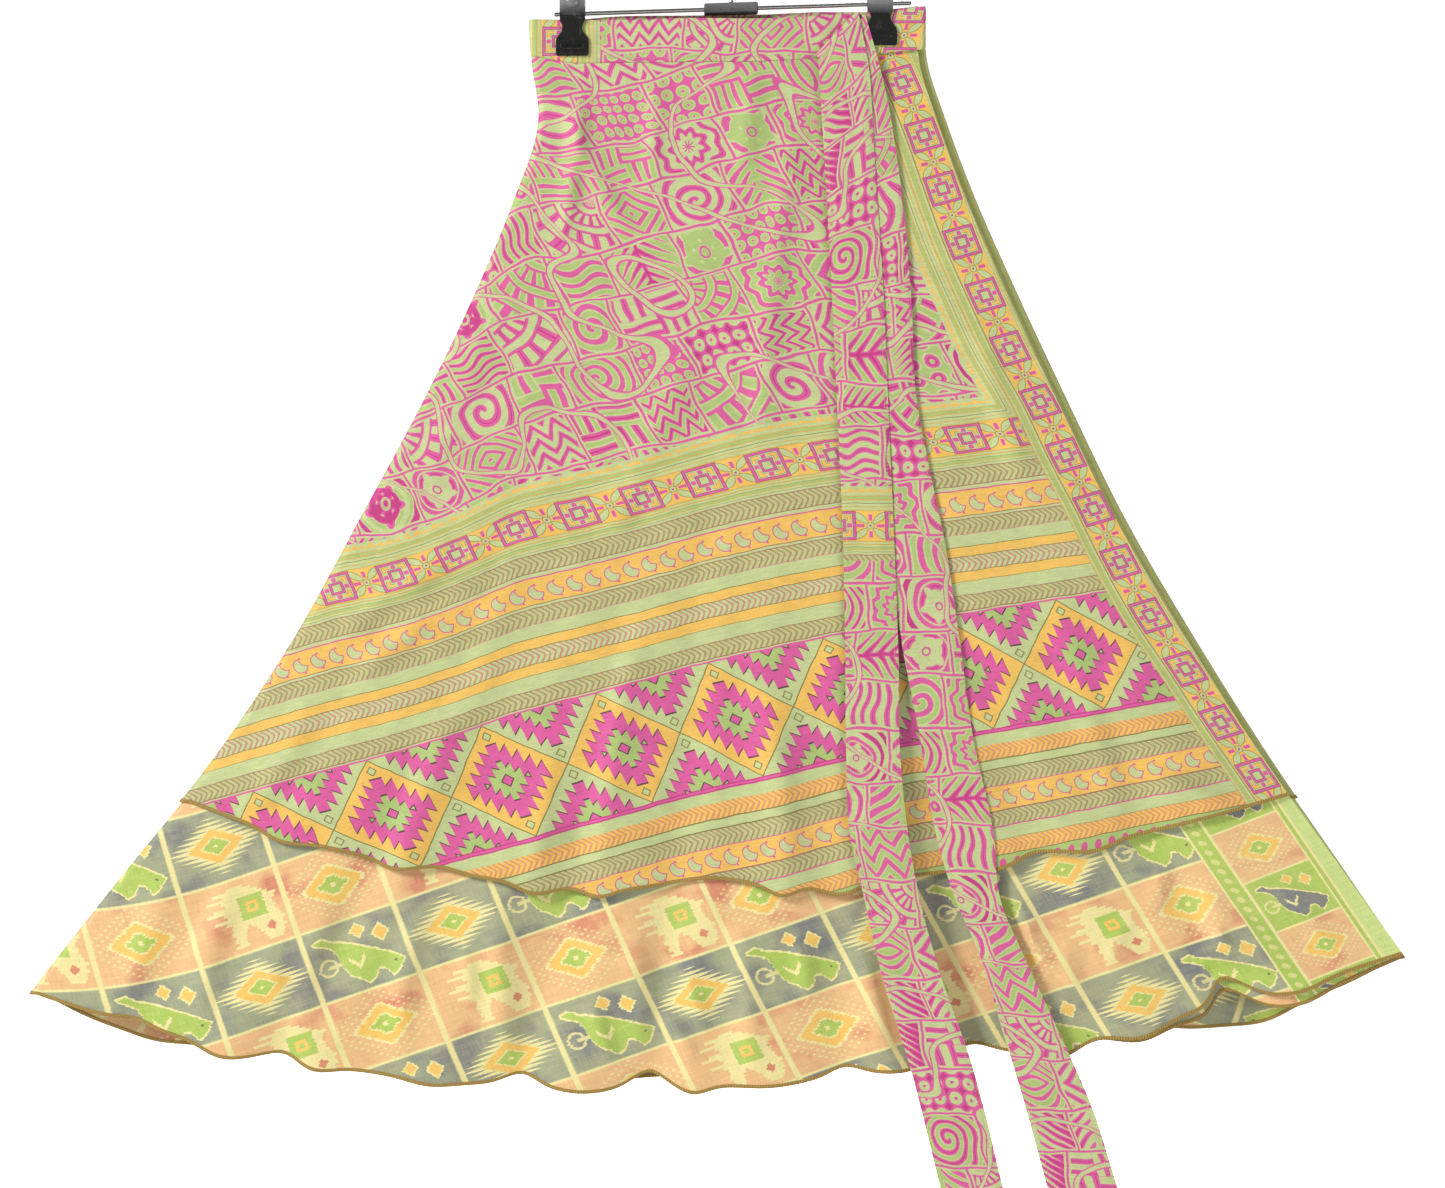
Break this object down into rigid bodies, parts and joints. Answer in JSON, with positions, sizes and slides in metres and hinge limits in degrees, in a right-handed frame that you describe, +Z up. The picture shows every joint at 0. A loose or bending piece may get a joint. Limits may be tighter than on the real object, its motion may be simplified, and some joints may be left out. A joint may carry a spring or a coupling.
{
  "type": "wrap skirt on a clip hanger",
  "caption": "Two-layer flared wrap skirt in printed cloth with waistband and two long ties, hanging flat from a clip hanger by its hook.",
  "frame": {"origin": "inside top of the hanger's hook, where a rail carries it", "axes": "+Z up, -Y out of the skirt's front, +X to the right as the front is seen"},
  "size_m": [1.176, 0.05, 1.094],
  "materials": {
    "printed_cloth": "soft, slightly lustrous",
    "under_cloth": "soft, slightly lustrous",
    "thread": "matt",
    "steel": "bright",
    "black_plastic": "satin"
  },
  "bodies": {
    "root": {"upper_front": "printed_cloth", "upper_back": "printed_cloth", "upper_underlap": "printed_cloth", "under_front": "under_cloth", "under_back": "under_cloth", "under_underlap": "under_cloth", "waistband_front": "printed_cloth", "waistband_back": "printed_cloth", "waistband_underlap": "printed_cloth", "tie_front": "printed_cloth", "tie_under": "printed_cloth", "hanger_rod": "steel", "hanger_hook": "steel", "hanger_block": "black_plastic", "clip_left_sleeve": "steel", "clip_left_front": "black_plastic", "clip_left_back": "black_plastic", "clip_left_front_boss": "black_plastic", "clip_left_back_boss": "black_plastic", "clip_right_sleeve": "steel", "clip_right_front": "black_plastic", "clip_right_back": "black_plastic", "clip_right_front_boss": "black_plastic", "clip_right_back_boss": "black_plastic"}
  },
  "joints": []
}
